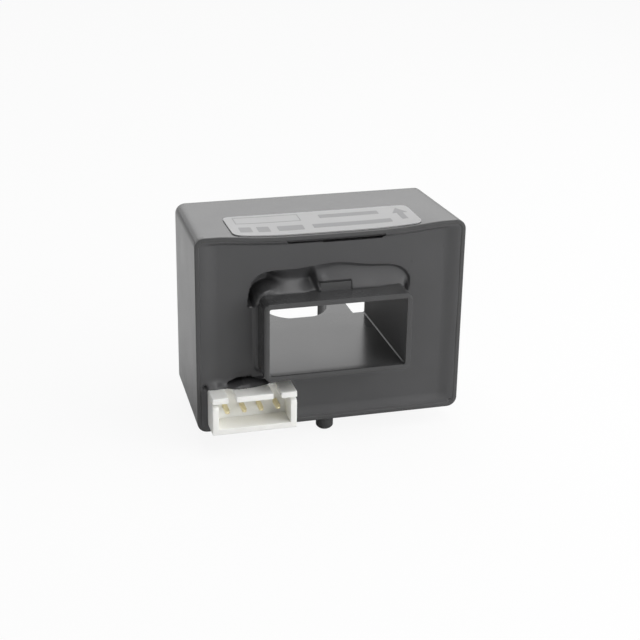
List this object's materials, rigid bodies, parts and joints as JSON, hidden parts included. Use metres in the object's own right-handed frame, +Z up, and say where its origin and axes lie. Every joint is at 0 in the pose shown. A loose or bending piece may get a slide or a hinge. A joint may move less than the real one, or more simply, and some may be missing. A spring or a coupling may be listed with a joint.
{
  "type": "current sensor",
  "caption": "Potted current sensor: black case round a rectangular conductor window, with a white pin header in front, a locating peg below and a screw foot behind.",
  "frame": {"origin": "where the locating peg's axis meets the underside of the case", "axes": "+X across the window, +Y through the window from front to back, +Z up, out of the panel that the sensor stands on"},
  "size_m": [0.04, 0.028, 0.0326],
  "materials": {
    "case": "satin moulded black",
    "potting_resin": "cast, semi-gloss black",
    "label": "silver film",
    "core": "silicon steel strip",
    "chip_body": "moulded black",
    "tinned_lead": "tinned",
    "circuit_board": "green solder mask",
    "trimmer": "moulded blue",
    "capacitor": "ceramic",
    "header_housing": "natural white nylon",
    "header_pin": "plated"
  },
  "bodies": {
    "root": {"case": "case", "potting_resin": "potting_resin", "label": "label", "core": "core", "hall_element": "chip_body", "hall_leads": "tinned_lead", "circuit_board": "circuit_board", "amplifier": "chip_body", "amplifier_leads": "tinned_lead", "gain_trimmer": "trimmer", "offset_trimmer": "trimmer", "capacitors": "capacitor", "resistors": "chip_body", "header_housing": "header_housing", "header_pin_1": "header_pin", "header_pin_2": "header_pin", "header_pin_3": "header_pin", "header_pin_4": "header_pin"}
  },
  "joints": []
}
